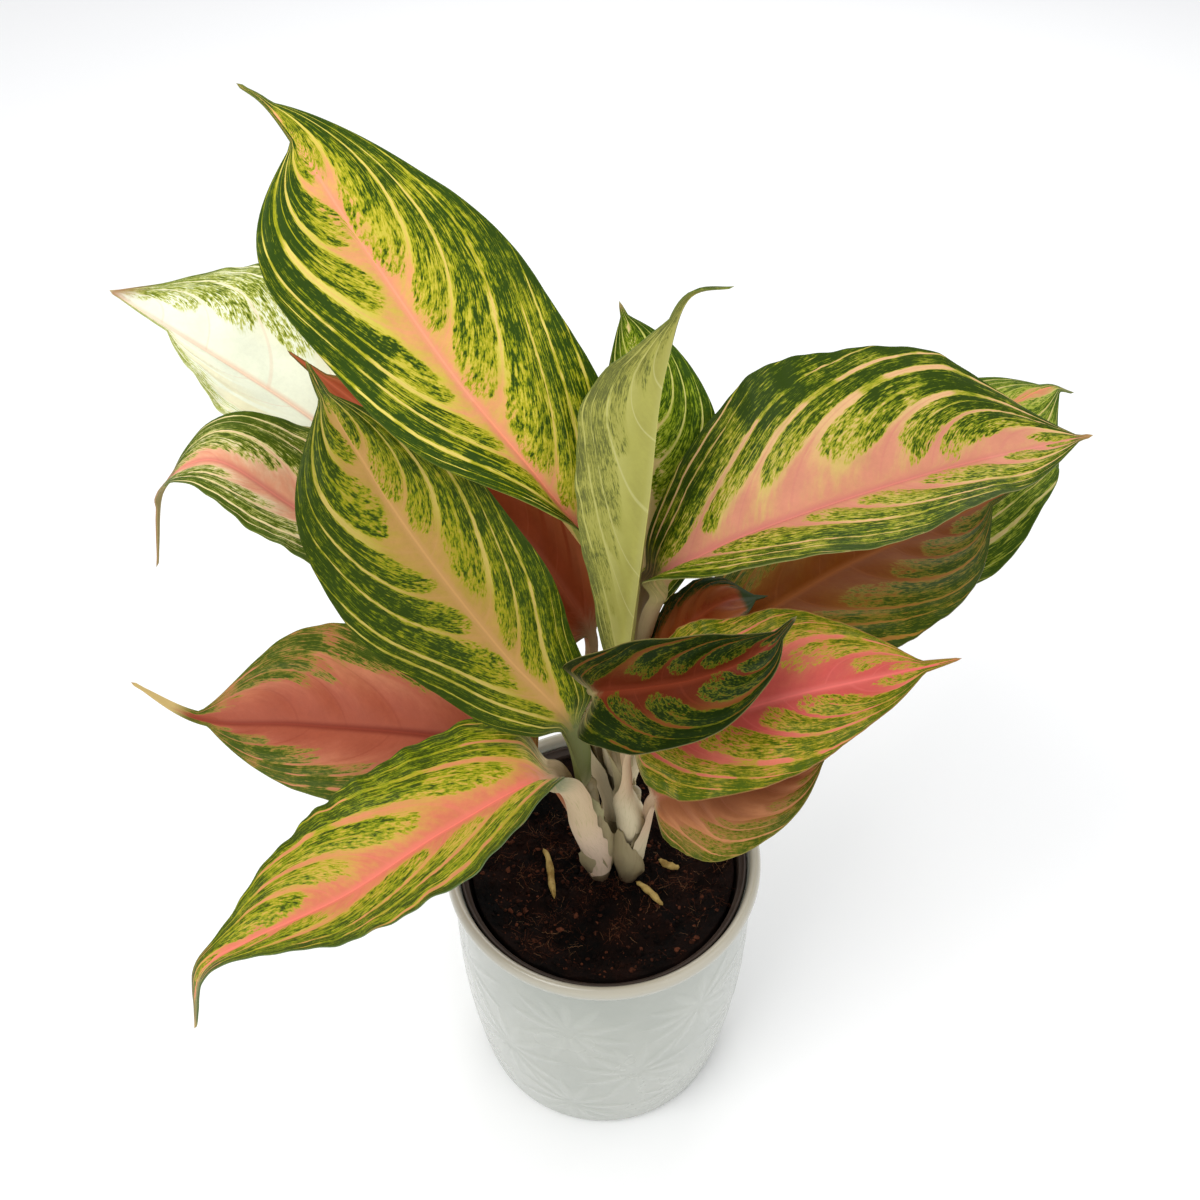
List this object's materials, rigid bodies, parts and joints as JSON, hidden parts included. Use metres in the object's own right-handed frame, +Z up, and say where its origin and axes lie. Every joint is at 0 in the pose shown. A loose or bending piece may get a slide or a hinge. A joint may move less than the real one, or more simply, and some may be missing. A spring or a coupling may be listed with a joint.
{
  "type": "potted chinese evergreen",
  "caption": "Variegated foliage plant on short canes, growing in peat in a plain nursery pot that stands inside a round glazed cover pot.",
  "frame": {"origin": "middle of the cover pot's flat underside, on the surface it stands on", "axes": "+Z up along the pot's axis, +X to the right of the plant as pictured, +Y away from the viewer"},
  "size_m": [0.361, 0.213, 0.441],
  "materials": {
    "glaze": "smooth off-white glaze",
    "brown_plastic": "thin dark brown moulded plastic",
    "peat": "crumbly moist peat",
    "sheath": "pale smooth living stem",
    "root": "dry rough root",
    "blade": "smooth leaf with a soft sheen, variegated in green, lime, cream and pink"
  },
  "bodies": {
    "root": {"cover_pot": "glaze", "growers_pot": "brown_plastic", "soil": "peat", "cane_1": "sheath", "cane_2": "sheath", "cane_3": "sheath", "leaf_01": "blade", "leaf_02": "blade", "leaf_03": "blade", "leaf_04": "blade", "leaf_05": "blade", "leaf_06": "blade", "leaf_07": "blade", "leaf_08": "blade", "leaf_09": "blade", "leaf_10": "blade", "leaf_11": "blade", "leaf_12": "blade", "leaf_13": "blade", "leaf_14": "blade", "leaf_15": "blade", "leaf_16": "blade", "root_stub_1": "root", "root_stub_2": "root", "bark_bit_1": "root"}
  },
  "joints": []
}
